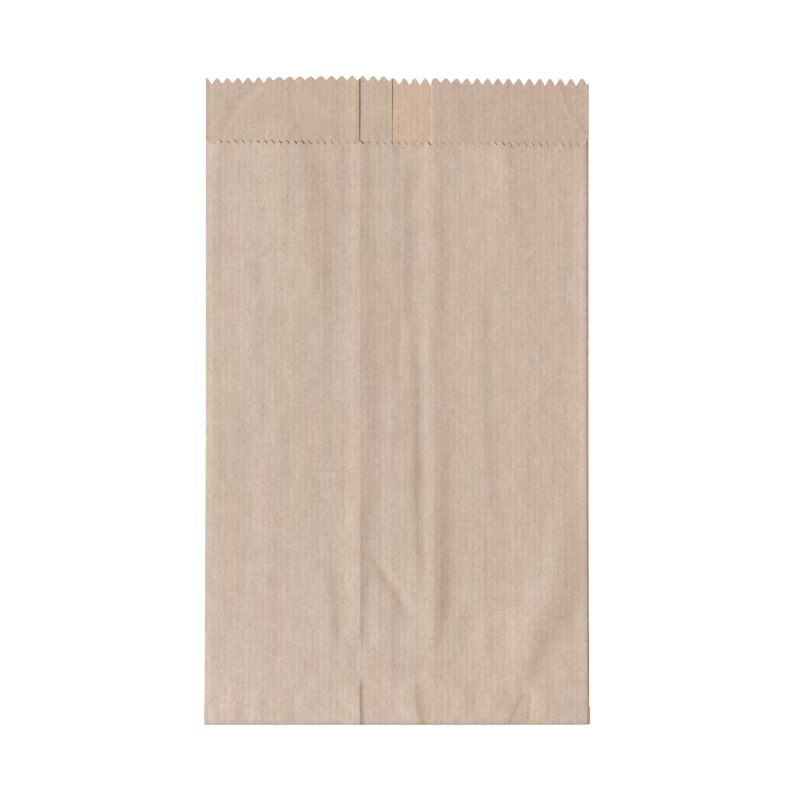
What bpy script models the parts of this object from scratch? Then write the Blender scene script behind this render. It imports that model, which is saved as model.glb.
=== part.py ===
"""A brown paper bag with two side gussets, lying folded flat on its back.

The bag is one sheet of kraft paper. It is drawn here as the flat blank that is cut from the roll,
creased along its fold lines, folded up and then given its thickness.

X runs across the bag, Y from the bottom fold to the mouth, and Z is up. The front panel is on top.
All lengths are in metres. Along the blank, s runs across the paper from one edge of the back seam
to the other, and t runs from the bottom fold (t = 0) to the mouth. Paper with a negative t is
folded under.
"""

from collections import namedtuple
from math import cos, exp, pi, radians, sin, tan

import bmesh
import bpy
from mathutils import Vector

# Paper
PAPER = 0.00008             # thickness of the sheet
LAYER_PITCH = 0.00016       # height that one pressed layer takes up in the folded bag

# Folded bag
BAG_WIDTH = 0.150
BAG_LENGTH = 0.2526         # start of the bottom fold to the tips of the back panel's teeth
CHANNEL_WIDTH = 0.0283      # from one gusset's inner fold to the other's
CHANNEL_CENTRE = -0.0009    # where the middle of that channel lies across the bag
FRONT_INSET = 0.0008        # how far the right front fold stands in from the back fold under it
FLARE = 0.00045             # how far the left side runs out towards the bottom
FLARE_START = 0.125         # where along the bag it begins

# Back seam
SEAM_EDGE = -0.0021         # inner edge of the seam, as seen through the mouth
SEAM_LAP = 0.015            # width that is glued
LAP_RAMP = 0.003            # width over which paper settles beside the seam

# Mouth
LIP = 0.0246                # how much lower the front panel is cut
CUT_SLOPE = radians(0.2)    # how far the back's cut is from square
FRONT_SLOPE = radians(0.5)  # how far the front panel's cut is from square
SEAM_CREEP = 0.0013         # how far the left back panel has crept up at the seam
CORNER = 0.0030             # rounding of the front panel's two corners

# Toothed edges
COARSE_PITCH = 0.004076
COARSE_DEPTH = 0.0026
COARSE_TIP = -0.0014        # where one tip of the coarse teeth lies across the bag
FINE_PITCH = 0.00291
FINE_DEPTH = 0.0015
FINE_TIP = -0.0148          # where one tip of the fine teeth lies across the bag
TIP_ROUND = 0.16            # flattened share of a tooth's pitch at its tip
TOOTH_MARGIN = 0.08         # share of the pitch beside a fold where no corner of a tooth is cut

# Bottom
FLAP = 0.0082               # the whole stack is folded under by this much
TAB_INSET = 0.0020          # the glued tab is narrower than the front panel on each side
FLAP_SPREAD = 0.0003        # how far the flap stands out past the bag's sides
FLAP_SETTLE = 0.010         # length over which the bag comes down behind the flap
TAB_SETTLE = 0.006          # length over which it comes down behind the tab
CLEARANCE = 0.001           # flat paper left past an edge before the bag comes down

# Fullness of the front
PUFF = 0.00060              # how far the front panel stands up between its folds
PUFF_ROUNDNESS = 4          # the higher, the flatter between the side folds
PUFF_RAMP = 0.075           # length over which it rises behind the glued bottom
RIDGE = 0.00060             # extra height where a gusset's inner fold presses through
RIDGE_WIDTH = 0.0050
RIDGE_START = 0.026
RIDGE_RAMP = 0.030
MOUTH_LIFT = 0.00035        # the gussets spring open a little more at the mouth
MOUTH_REACH = 0.050

# Wrinkles of the front panel. Each runs through places (x, t, height), and reaches out from its
# crest by so much to the left and to the right.
Wrinkle = namedtuple("Wrinkle", "left_reach right_reach places")
WRINKLES = (
    # the crease between the two gussets
    Wrinkle(0.0060, 0.0030, ((0.0008, 0.2260, 0.00018), (0.0014, 0.1700, 0.00026), (0.0028, 0.1600, 0.0),
                             (0.0050, 0.1460, 0.00026), (0.0056, 0.0990, 0.00055),
                             (0.0059, 0.0760, 0.00042), (0.0088, 0.0380, 0.0))),
    # the buckle that runs down to the bottom from the right side
    Wrinkle(0.0100, 0.0080, ((0.0708, 0.0880, 0.0), (0.0664, 0.0775, 0.00035), (0.0609, 0.0540, 0.00095),
                             (0.0531, 0.0341, 0.00105), (0.0492, 0.0215, 0.00050), (0.0448, 0.0121, 0.0))),
    # the shoulder below the mouth on the left
    Wrinkle(0.0150, 0.0060, ((-0.0405, 0.2259, 0.00075), (-0.0393, 0.2126, 0.00075),
                             (-0.0339, 0.1970, 0.00055), (-0.0323, 0.1774, 0.00050),
                             (-0.0303, 0.1500, 0.0))),
    # pinches at the bottom fold, below each gusset's inner fold and near the right corner
    Wrinkle(0.0040, 0.0012, ((-0.0150, 0.0192, 0.0), (-0.0150, 0.0137, 0.00030), (-0.0147, 0.0, 0.00030))),
    Wrinkle(0.0050, 0.0024, ((0.0063, 0.0161, 0.0), (0.0057, 0.0121, 0.00040), (0.0069, 0.0051, 0.00040),
                             (0.0083, 0.0, 0.00034))),
    Wrinkle(0.0026, 0.0040, ((0.0538, 0.0150, 0.0), (0.0518, 0.0102, 0.00022), (0.0488, 0.0051, 0.00028),
                             (0.0473, 0.0, 0.00026))),
)

# Fineness of the mesh
CREASE_STEPS = 4            # flats round one side fold
BEND_STEPS = 6              # flats round the bottom fold
CORNER_STEPS = 3            # flats round a corner of the front panel's cut
GUSSET_SHARES = (0.25, 0.5, 0.75, 0.92)     # bend places across a gusset, as shares of its depth
RIDGE_SHARES = (-1.0, -0.35, 0.0, 0.35, 1.0)    # and across a ridge, as shares of its width
SETTLE_SHARES = (0.0, 0.25, 0.5, 0.75, 1.0)     # and along the slope behind the flap
LEFT_BACK_BAYS = 3          # even bays across the back on the left of the seam
RIGHT_BACK_BAYS = 4         # and on its right
LEFT_BAYS = 6               # even bays across the front on the left of the channel
RIGHT_BAYS = 10             # and on its right, with the buckle
CHANNEL_BAYS = 6            # and between the ridges
ROW_SPACING = 0.026
FRONT_ROW_SPACING = 0.0105  # rows that bend the front panel only
PINCH_ROWS = (0.003, 0.006, 0.0121, 0.0161)
MERGE = 0.00002             # corners closer together than this become one

KRAFT = (0.594, 0.466, 0.375, 1.0)
KRAFT_ROUGHNESS = 0.85

LEFT = -BAG_WIDTH / 2
RIGHT = BAG_WIDTH / 2
CHANNEL_LEFT = CHANNEL_CENTRE - CHANNEL_WIDTH / 2
CHANNEL_RIGHT = CHANNEL_CENTRE + CHANNEL_WIDTH / 2
OUTER_SEAM_EDGE = SEAM_EDGE - SEAM_LAP
FRONT_RIGHT = RIGHT - FRONT_INSET

# Heights of the layers above the back panel, counted in layers. The front is clear of the seam's
# extra layer.
BACK, GUSSET_BACK, GUSSET_FRONT, FRONT = 0, 1, 2, 4
PUFF_SHARE = {BACK: 0.0, GUSSET_BACK: 0.25, GUSSET_FRONT: 0.75, FRONT: 1.0}

# The bottom fold turns round an axis just under the back panel
BEND_RADIUS = LAYER_PITCH / 2
BEND_AXIS = PAPER / 2 + BEND_RADIUS + FRONT * LAYER_PITCH
BEND_BAND = pi * (BEND_RADIUS + FRONT * LAYER_PITCH / 2)
FLAP_LIFT = 2 * BEND_RADIUS + FRONT * LAYER_PITCH
TAB_LIFT = LAYER_PITCH

CREASE_BAND = pi * LAYER_PITCH
MOUTH_MARGIN = 2 * COARSE_DEPTH

Run = namedtuple("Run", "layer start end over_lap columns")


def even_columns(start, end, count):
    """Places that split start to end into count equal steps, without the ends."""
    return [start + (end - start) * i / count for i in range(1, count)]


def ridge_columns(x):
    """Places that a ridge over a gusset's inner fold needs."""
    return [x + RIDGE_WIDTH * share for share in RIDGE_SHARES]


def gusset_columns(side, inner):
    """Places across one layer of a gusset, closer together towards its inner fold."""
    return [side + (inner - side) * share for share in GUSSET_SHARES]


def front_columns():
    """Places across the front panel."""
    sides = even_columns(LEFT, CHANNEL_LEFT - RIDGE_WIDTH, LEFT_BAYS)
    sides += even_columns(CHANNEL_RIGHT + RIDGE_WIDTH, FRONT_RIGHT, RIGHT_BAYS)
    channel = even_columns(CHANNEL_LEFT + RIDGE_WIDTH, CHANNEL_RIGHT - RIDGE_WIDTH, CHANNEL_BAYS)
    return sides + ridge_columns(CHANNEL_LEFT) + channel + ridge_columns(CHANNEL_RIGHT)


def left_back_columns():
    """Places across the back panel on the left of the seam."""
    lap = OUTER_SEAM_EDGE - LAP_RAMP
    return [OUTER_SEAM_EDGE, lap] + even_columns(lap, LEFT, LEFT_BACK_BAYS)


# The paper's way round the bag, from the inner edge of the seam to its outer edge
PATH = [
    Run(BACK, SEAM_EDGE, LEFT, True, left_back_columns()),
    Run(GUSSET_BACK, LEFT, CHANNEL_LEFT, True, gusset_columns(LEFT, CHANNEL_LEFT)),
    Run(GUSSET_FRONT, CHANNEL_LEFT, LEFT, True, gusset_columns(LEFT, CHANNEL_LEFT)),
    Run(FRONT, LEFT, FRONT_RIGHT, False, front_columns()),
    Run(GUSSET_FRONT, FRONT_RIGHT, CHANNEL_RIGHT, False, gusset_columns(FRONT_RIGHT, CHANNEL_RIGHT)),
    Run(GUSSET_BACK, CHANNEL_RIGHT, RIGHT, False, gusset_columns(RIGHT, CHANNEL_RIGHT)),
    Run(BACK, RIGHT, OUTER_SEAM_EDGE, False, even_columns(RIGHT, OUTER_SEAM_EDGE, RIGHT_BACK_BAYS)),
]
FRONT_RUN = 3


def run_starts():
    """Where each run of the path begins along s."""
    starts = [0.0]
    for run in PATH[:-1]:
        starts.append(starts[-1] + abs(run.end - run.start) + CREASE_BAND)
    return starts


STARTS = run_starts()


def run_length(index):
    """Width of the paper in one run."""
    return abs(PATH[index].end - PATH[index].start)


def sheet_s(index, x):
    """Place along s of a point at x on one run."""
    return STARTS[index] + abs(x - PATH[index].start)


def smooth(value):
    """0 below 0, 1 above 1 and an even slope change between."""
    value = min(max(value, 0.0), 1.0)
    return value * value * (3 - 2 * value)


def mouth_line(x):
    """Height of the knife's cut at the tips of the back panel's teeth."""
    return BAG_LENGTH - tan(CUT_SLOPE) * x


def front_line(x):
    """Height of the cut at the tips of the front panel's teeth."""
    return BAG_LENGTH - LIP - tan(FRONT_SLOPE) * x


def saw(x, pitch, tip):
    """Share of a tooth's depth that is cut away at x: 0 on a tip, 1 in a valley."""
    phase = ((x - tip) / pitch) % 1.0
    from_tip = min(phase, 1.0 - phase)
    return min(max((from_tip - TIP_ROUND / 2) / (0.5 - TIP_ROUND / 2), 0.0), 1.0)


def tooth_places(x_from, x_to, pitch, tip):
    """The x of every corner of the teeth between two places, in the order of travel."""
    low, high = min(x_from, x_to), max(x_from, x_to)
    first = int((low - tip) / pitch) - 2
    last = int((high - tip) / pitch) + 2
    places = []
    for tooth in range(first, last + 1):
        for share in (-TIP_ROUND / 2, TIP_ROUND / 2, 0.5):
            x = tip + (tooth + share) * pitch
            if low + pitch * TOOTH_MARGIN < x < high - pitch * TOOTH_MARGIN:
                places.append(x)
    return places if x_to > x_from else places[::-1]


def seam_creep(run, x):
    """How far the left back panel has crept up, growing from its side fold to the seam."""
    if run.layer == BACK and run.over_lap:
        return SEAM_CREEP * (x - run.end) / (run.start - run.end)
    return 0.0


def coarse_edge(index, mouth):
    """One run's stretch of the toothed cut of the back panel and gussets."""
    run = PATH[index]
    points = []
    for x in [run.start] + tooth_places(run.start, run.end, COARSE_PITCH, COARSE_TIP) + [run.end]:
        cut = COARSE_DEPTH * saw(x, COARSE_PITCH, COARSE_TIP)
        if mouth:
            t = mouth_line(x) - cut + seam_creep(run, x)
        else:
            t = cut - FLAP - BEND_BAND
        points.append((sheet_s(index, x), t))
    return points


def front_mouth_edge():
    """The front panel's cut: down a slit, round a corner, along the fine teeth and up again."""
    start, end = LEFT + CORNER, FRONT_RIGHT - CORNER
    teeth = []
    for x in [start] + tooth_places(start, end, FINE_PITCH, FINE_TIP) + [end]:
        cut = FINE_DEPTH * saw(x, FINE_PITCH, FINE_TIP)
        teeth.append((sheet_s(FRONT_RUN, x), front_line(x) - cut))
    left_slit = STARTS[FRONT_RUN] - CREASE_BAND / 2
    right_slit = STARTS[FRONT_RUN] + run_length(FRONT_RUN) + CREASE_BAND / 2
    left_corner = corner_arc(left_slit, teeth[0])
    right_corner = corner_arc(right_slit, teeth[-1])[::-1]
    return left_corner + teeth + right_corner


def corner_arc(slit_s, tooth):
    """A quarter round from the foot of a slit to the first tooth, without the tooth itself."""
    width = tooth[0] - slit_s
    points = []
    for i in range(CORNER_STEPS):
        angle = pi / 2 * i / CORNER_STEPS
        points.append((tooth[0] - width * cos(angle), tooth[1] + CORNER * (1 - sin(angle))))
    return points


def tab_edge():
    """The end of the front panel that is folded under and glued: it fits the next bag's lip."""
    start, end = LEFT + TAB_INSET, FRONT_RIGHT - TAB_INSET
    foot = -FLAP - BEND_BAND
    tip_line = foot - LIP
    teeth = []
    places = tooth_places(start + CORNER, end - CORNER, FINE_PITCH, FINE_TIP)
    for x in [start + CORNER] + places + [end - CORNER]:
        cut = FINE_DEPTH * saw(x, FINE_PITCH, FINE_TIP)
        teeth.append((sheet_s(FRONT_RUN, x), tip_line + cut))
    left = [(sheet_s(FRONT_RUN, start), foot), (sheet_s(FRONT_RUN, start), tip_line + CORNER)]
    right = [(sheet_s(FRONT_RUN, end), tip_line + CORNER), (sheet_s(FRONT_RUN, end), foot)]
    return left + teeth + right


def blank_outline():
    """The cut outline of the flat sheet: along the mouth, then back along the bottom."""
    mouth, bottom = [], []
    for index in range(len(PATH)):
        if index == FRONT_RUN:
            slit_tops = [(STARTS[index] - CREASE_BAND / 2, mouth_line(LEFT)),
                         (STARTS[index] + run_length(index) + CREASE_BAND / 2, mouth_line(FRONT_RIGHT))]
            mouth += slit_tops[:1] + front_mouth_edge() + slit_tops[1:]
            bottom += tab_edge()
        else:
            mouth += coarse_edge(index, True)
            bottom += coarse_edge(index, False)
    return mouth + bottom[::-1]


def crease_lines():
    """Every s at which the blank is creased or may bend."""
    lines = []
    for index, run in enumerate(PATH):
        lines += [sheet_s(index, x) for x in run.columns]
        if index > 0:
            lines += [STARTS[index] - CREASE_BAND * i / CREASE_STEPS for i in range(CREASE_STEPS + 1)]
    return lines


def bend_rows():
    """Every t at which the blank is bent across."""
    rows = [-BEND_BAND * i / BEND_STEPS for i in range(BEND_STEPS + 1)]
    flap_end = FLAP + CLEARANCE
    tab_end = FLAP + LIP + CLEARANCE
    rows += [flap_end + FLAP_SETTLE * share for share in SETTLE_SHARES]
    rows += [tab_end, tab_end + TAB_SETTLE / 2, tab_end + TAB_SETTLE]
    body_start = tab_end + TAB_SETTLE
    count = round((BAG_LENGTH - LIP - body_start) / ROW_SPACING)
    rows += even_columns(body_start, BAG_LENGTH - LIP - CORNER - FINE_DEPTH, count)
    return rows + [BAG_LENGTH - MOUTH_MARGIN]


def front_rows():
    """Every t at which the front panel alone is bent across, for its wrinkles."""
    start, end = FLAP + CLEARANCE + FLAP_SETTLE, BAG_LENGTH - LIP - CORNER - FINE_DEPTH
    return list(PINCH_ROWS) + even_columns(start, end, round((end - start) / FRONT_ROW_SPACING))


def lap_height(x):
    """Share of a layer by which the seam's lap lifts the paper over it."""
    return smooth((x - (OUTER_SEAM_EDGE - LAP_RAMP)) / LAP_RAMP)


def ridge(x, fold):
    """Share of the ridge over one gusset's inner fold."""
    return exp(-((x - fold) / RIDGE_WIDTH * 2) ** 2)


def wrinkle_height(wrinkle, x, t):
    """Height of one wrinkle at a point of the front panel."""
    nearest = None
    for (x0, t0, first), (x1, t1, last) in zip(wrinkle.places, wrinkle.places[1:]):
        line = Vector((x1 - x0, t1 - t0))
        point = Vector((x - x0, t - t0))
        share = min(max(point.dot(line) / line.length_squared, 0.0), 1.0)
        distance = (point - line * share).length
        if nearest is None or distance < nearest:
            nearest = distance
            left = line.cross(point) * line.y > 0.0
            crest = first + (last - first) * share
    reach = wrinkle.left_reach if left else wrinkle.right_reach
    return crest * exp(-(nearest / reach) ** 2)


def fullness(x, t):
    """How far the front panel stands up from a pressed stack, without its wrinkles."""
    along = smooth((t - FLAP - LIP) / PUFF_RAMP)
    across = 1.0 - abs(2 * x / BAG_WIDTH) ** PUFF_ROUNDNESS
    folds = ridge(x, CHANNEL_LEFT) + ridge(x, CHANNEL_RIGHT)
    ridge_along = smooth((t - RIDGE_START) / RIDGE_RAMP)
    mouth = smooth((t - BAG_LENGTH + MOUTH_REACH) / MOUTH_REACH)
    return max(across, 0.0) * (PUFF * along + MOUTH_LIFT * mouth) + RIDGE * folds * ridge_along


def height(run, x, t):
    """Height of one layer above the back panel's own layer."""
    lap = lap_height(x) if run.over_lap else 0.0
    level = (run.layer + lap) * LAYER_PITCH + PUFF_SHARE[run.layer] * fullness(x, t)
    if run.layer == FRONT:
        before_fold = smooth(1.0 + 2 * t / BEND_BAND)
        level += before_fold * sum(wrinkle_height(wrinkle, x, t) for wrinkle in WRINKLES)
    return level


def lift(t):
    """Height by which the flap and the tab under it raise the bag."""
    over_flap = 1.0 - smooth((t - FLAP - CLEARANCE) / FLAP_SETTLE)
    over_tab = 1.0 - smooth((t - FLAP - LIP - CLEARANCE) / TAB_SETTLE)
    return TAB_LIFT * over_tab + (FLAP_LIFT - TAB_LIFT) * over_flap


def fold_turn(index, t):
    """Heights of the two layers that meet at the fold after one run, and half their distance."""
    x = PATH[index].end
    low = height(PATH[index], x, t)
    high = height(PATH[index + 1], x, t)
    return low, high, abs(high - low) / 2


def fold_across(s, t):
    """Fold the sheet's sides in: the place across the bag and the height above the back."""
    index = max(i for i, start in enumerate(STARTS) if start <= max(s, 0.0))
    run = PATH[index]
    direction = 1.0 if run.end > run.start else -1.0
    along = s - STARTS[index]
    length = run_length(index)
    last = index + 1 == len(PATH)
    if along > length and not last:
        low, high, radius = fold_turn(index, t)
        angle = pi * (along - length) / CREASE_BAND
        x = run.end - direction * radius * (1.0 - sin(angle))
        return x, (low + high) / 2 - (high - low) / 2 * cos(angle)
    start = run.start if index == 0 else run.start + direction * fold_turn(index - 1, t)[2]
    end = run.end if last else run.end - direction * fold_turn(index, t)[2]
    x = start + (end - start) * along / length
    return x, height(run, x, t)


def fold_sheet(s, t):
    """Fold one point of the blank to its place in the bag."""
    x, above = fold_across(s, t)
    x -= FLARE * smooth((FLARE_START - t) / (FLARE_START - FLAP)) * smooth(x / LEFT)
    if t >= 0.0:
        return Vector((x, t, PAPER / 2 + lift(t) + above))
    turned = min(-t / BEND_BAND, 1.0)
    spread = 1.0 + 2 * FLAP_SPREAD / BAG_WIDTH * smooth(turned)
    radius = BEND_RADIUS + above
    y = -radius * sin(pi * turned) + max(-t - BEND_BAND, 0.0)
    return Vector((x * spread, y, BEND_AXIS + radius * cos(pi * turned)))


def cut_blank():
    """Cut the flat blank and mark every line along which it bends."""
    blank = bmesh.new()
    corners = [blank.verts.new((s, t, 0.0)) for s, t in blank_outline()]
    blank.faces.new(corners)
    for s in crease_lines():
        bisect(blank, (s, 0.0, 0.0), (1.0, 0.0, 0.0))
    for t in bend_rows():
        bisect(blank, (0.0, t, 0.0), (0.0, 1.0, 0.0))
    front_start = STARTS[FRONT_RUN]
    front_end = front_start + run_length(FRONT_RUN)
    for t in front_rows():
        front = [face for face in blank.faces if front_start < face.calc_center_median().x < front_end]
        bisect(blank, (0.0, t, 0.0), (0.0, 1.0, 0.0), front)
    bmesh.ops.triangulate(blank, faces=blank.faces[:], quad_method="FIXED", ngon_method="BEAUTY")
    return blank


def bisect(blank, point, normal, faces=None):
    """Cut a line across the blank, or across some of its faces."""
    if faces is None:
        faces = blank.faces[:]
    edges = list({edge for face in faces for edge in face.edges})
    corners = list({corner for face in faces for corner in face.verts})
    bmesh.ops.bisect_plane(blank, geom=corners + edges + faces, dist=MERGE, plane_co=point,
                           plane_no=normal)


def fold_blank(blank):
    """Fold the blank into the bag and stand its middle on the origin."""
    for vertex in blank.verts:
        vertex.co = fold_sheet(vertex.co.x, vertex.co.y)
    across = [vertex.co.x for vertex in blank.verts]
    along = [vertex.co.y for vertex in blank.verts]
    middle = Vector(((min(across) + max(across)) / 2, (min(along) + max(along)) / 2, 0.0))
    bmesh.ops.translate(blank, verts=blank.verts[:], vec=-middle)


def kraft_paper():
    material = bpy.data.materials.new("kraft_paper")
    material.use_nodes = True
    shader = material.node_tree.nodes["Principled BSDF"]
    shader.inputs["Base Color"].default_value = KRAFT
    shader.inputs["Roughness"].default_value = KRAFT_ROUGHNESS
    shader.inputs["Metallic"].default_value = 0.0
    return material


def paper_bag(collection):
    """The folded sheet with its thickness."""
    blank = cut_blank()
    fold_blank(blank)
    mesh = bpy.data.meshes.new("paper_bag")
    blank.to_mesh(mesh)
    blank.free()
    mesh.materials.append(kraft_paper())
    bag = bpy.data.objects.new("paper_bag", mesh)
    collection.objects.link(bag)
    thickness = bag.modifiers.new("paper thickness", "SOLIDIFY")
    thickness.thickness = PAPER
    thickness.offset = 0.0
    thickness.use_even_offset = True
    thickness.use_quality_normals = True
    return bag


def main():
    for item in list(bpy.data.objects):
        bpy.data.objects.remove(item, do_unlink=True)
    collection = bpy.data.collections.new("folded_paper_bag")
    bpy.context.scene.collection.children.link(collection)
    paper_bag(collection)


main()
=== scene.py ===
"""How the folded kraft paper bag looks: its creased sheet, its paper, the light and the camera.

The sheet is drawn flat and folded the way the model's own sheet is, in the same place, but with the
relief that real paper takes: ridges over the gussets' folds, pinches at the bottom and creases in
the mouth. Along the flat sheet, s runs across the paper from the seam's inner edge to its outer
edge, and t runs from the bottom fold to the mouth.
"""
from collections import namedtuple
from math import cos, pi, radians, sin, tan

import bmesh
import bpy
import numpy as np
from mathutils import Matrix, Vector


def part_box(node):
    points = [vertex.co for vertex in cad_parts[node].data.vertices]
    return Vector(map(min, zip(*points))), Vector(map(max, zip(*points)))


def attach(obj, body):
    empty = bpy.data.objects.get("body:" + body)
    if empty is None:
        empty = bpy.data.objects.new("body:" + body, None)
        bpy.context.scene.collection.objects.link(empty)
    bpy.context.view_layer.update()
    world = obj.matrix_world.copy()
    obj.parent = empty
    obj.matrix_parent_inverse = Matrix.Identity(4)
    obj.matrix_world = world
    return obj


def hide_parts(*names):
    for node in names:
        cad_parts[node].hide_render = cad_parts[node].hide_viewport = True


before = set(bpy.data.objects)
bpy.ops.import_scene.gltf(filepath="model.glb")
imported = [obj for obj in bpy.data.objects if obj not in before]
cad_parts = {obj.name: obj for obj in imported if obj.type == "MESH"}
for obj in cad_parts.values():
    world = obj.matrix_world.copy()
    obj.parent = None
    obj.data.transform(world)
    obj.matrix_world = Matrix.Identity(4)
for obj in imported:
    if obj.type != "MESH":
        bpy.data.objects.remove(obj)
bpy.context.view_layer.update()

LOW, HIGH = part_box("paper_bag")
MM = 0.001

# The folded sheet, as in the model
PAPER = 0.08 * MM
LAYER = 0.10 * MM               # height that one pressed layer takes up
FLAP_SPREAD = 0.3 * MM
LEFT_FLARE = 0.45 * MM          # the left side runs out this far towards the bottom
RIGHT_FLARE = 0.18 * MM
FLARE_START = 125 * MM
LEFT_SHIFT = -0.08 * MM         # how far the sides and the bottom lie from the model's
RIGHT_SHIFT = -0.07 * MM
BOTTOM_SHIFT = 0.08 * MM
LEFT = LOW.x + PAPER / 2 + FLAP_SPREAD + LEFT_FLARE + LEFT_SHIFT
RIGHT = HIGH.x - PAPER / 2 - FLAP_SPREAD - RIGHT_FLARE + RIGHT_SHIFT
FRONT_INSET = 0.76 * MM         # how far the front's right fold stands in from the side
FRONT_RIGHT = RIGHT - FRONT_INSET
CHANNEL_LEFT = -14.75 * MM      # the gussets' inner folds
CHANNEL_RIGHT = 13.5 * MM
SEAM_EDGE = -1.9 * MM
SEAM_LAP = 15 * MM
OUTER_SEAM_EDGE = SEAM_EDGE - SEAM_LAP
LAP_RAMP = 3 * MM
LENGTH = 252.7 * MM             # from the bottom fold to the tips of the back's teeth
LIP = 24.8 * MM                 # how much lower the front is cut
CUT_SLOPE = radians(0.24)
FRONT_SLOPE = radians(0.5)
CORNER = 3.0 * MM
CORNER_STEPS = 6
SLIT_PLACE = 0.95               # share of a side crease at which the front is slit off above its cut
FLAP = 8.2 * MM
TAB_INSET = 2.0 * MM
FLAP_SETTLE = 10 * MM
TAB_SETTLE = 6 * MM
CLEARANCE = 1 * MM

# Toothed edges
COARSE_PITCH = 4.076 * MM
COARSE_DEPTH = 2.6 * MM
LEFT_SLIT_DEPTH = COARSE_DEPTH / 3      # how far below the tips the slits beside the front begin
RIGHT_SLIT_DEPTH = COARSE_DEPTH / 2
# Depth of the teeth at the mouth, from x, and how far the left layers have crept up, both in mm
MOUTH_DEPTHS = ((-75, 2.6), (-66, 2.33), (-58, 2.45), (-54, 2.55), (-50.5, 2.35), (-47.5, 1.6),
                (-40, 1.72), (-24, 1.75), (-18, 2.1), (-12, 2.35), (-3, 2.1), (-1, 2.8), (13.3, 2.84),
                (15, 2.15), (22, 2.1), (29, 2.45), (44, 2.66), (50, 3.02), (75, 3.02))
LEFT_CREEP = ((-75, -0.38), (-67, -0.27), (-58, -0.04), (-50, 0.18), (-42, 0.46), (-34, 0.6),
              (-25, 0.82), (-10, 0.86), (-5, 0.73), (-2, 0.6))
# Places of the top layer's shortened tips, and of its teeth that have slipped sideways
SHORT_TIPS = ((-50, -46, -0.25), (-32, -28, 0.25))
LEFT_SLIP = ((-52, -47, -0.45), (-32, -27, 0.45))
RIGHT_SLIP = ((0, 1, -0.55), (14, 24, 0.55))
COARSE_TIP = -1.2 * MM
FINE_PITCH = 2.91 * MM
FINE_DEPTH = 1.5 * MM
FINE_TIP = -14.6 * MM
TIP_SHARPNESS = 0.13            # share of the pitch over which a tip is rounded
TOOTH_PHASES = (-0.36, -0.22, -0.12, -0.05, 0.0, 0.05, 0.12, 0.22, 0.36, 0.5)
TOOTH_MARGIN = 0.04             # share of the pitch beside a fold where a tooth has no corner
TOOTH_UNEVENNESS = 0.06         # share by which the teeth differ in depth
TOOTH_SHUFFLE = 12.9898         # angle between one tooth and the next in that unevenness

# Layers, counted up from the table
BACK, GUSSET_BACK, GUSSET_FRONT, FRONT = range(4)
RELIEF_SHARE = (0.0, 0.25, 0.75, 1.0)

STACK = 4                       # layers between the back panel and the front at the bottom fold
BEND_RADIUS = LAYER / 2
BEND_AXIS = PAPER / 2 + BEND_RADIUS + STACK * LAYER
BEND_BAND = pi * (BEND_RADIUS + STACK * LAYER / 2)
FLAP_LIFT = 2 * BEND_RADIUS + STACK * LAYER
CREASE_BAND = pi * LAYER
BOTTOM_Y = LOW.y + BEND_RADIUS + STACK * LAYER + PAPER / 2 + BOTTOM_SHIFT

# Fineness of the mesh
FINE_STEP = 1.0 * MM
GUSSET_STEP = 2.0 * MM
COARSE_STEP = 6.0 * MM
FINE_ROW = 1.6 * MM             # rows of the front, and of every layer from just below its cut
FINE_ROWS_BELOW = 6 * MM
FLAP_ROW = 2 * MM
BODY_ROW = 8 * MM
CREASE_STEPS = 8
SCORE_OFFSETS = (-0.8, -0.35, 0.0, 0.35, 0.8)   # cuts beside a sharp crease, in millimetres
SCORE_REACH = 1.2 * MM
CORNER_CATCH = 0.01 * MM        # a cut this near a corner passes through it
UV_SCALE = 10                   # of the flat sheet's UV map, in units to a metre
SHARP_EDGE = radians(50)

Run = namedtuple("Run", "layer start end over_lap step")
PATH = (
    Run(BACK, SEAM_EDGE, LEFT, True, COARSE_STEP),
    Run(GUSSET_BACK, LEFT, CHANNEL_LEFT, True, COARSE_STEP),
    Run(GUSSET_FRONT, CHANNEL_LEFT, LEFT, True, GUSSET_STEP),
    Run(FRONT, LEFT, FRONT_RIGHT, False, FINE_STEP),
    Run(GUSSET_FRONT, FRONT_RIGHT, CHANNEL_RIGHT, False, GUSSET_STEP),
    Run(GUSSET_BACK, CHANNEL_RIGHT, RIGHT, False, COARSE_STEP),
    Run(BACK, RIGHT, OUTER_SEAM_EDGE, False, COARSE_STEP),
)
LEFT_GUSSET_RUN, FRONT_RUN, RIGHT_GUSSET_RUN = 2, 3, 4
LENGTHS = [abs(run.end - run.start) for run in PATH]
STARTS = [sum(LENGTHS[:i]) + i * CREASE_BAND for i in range(len(PATH))]

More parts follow.
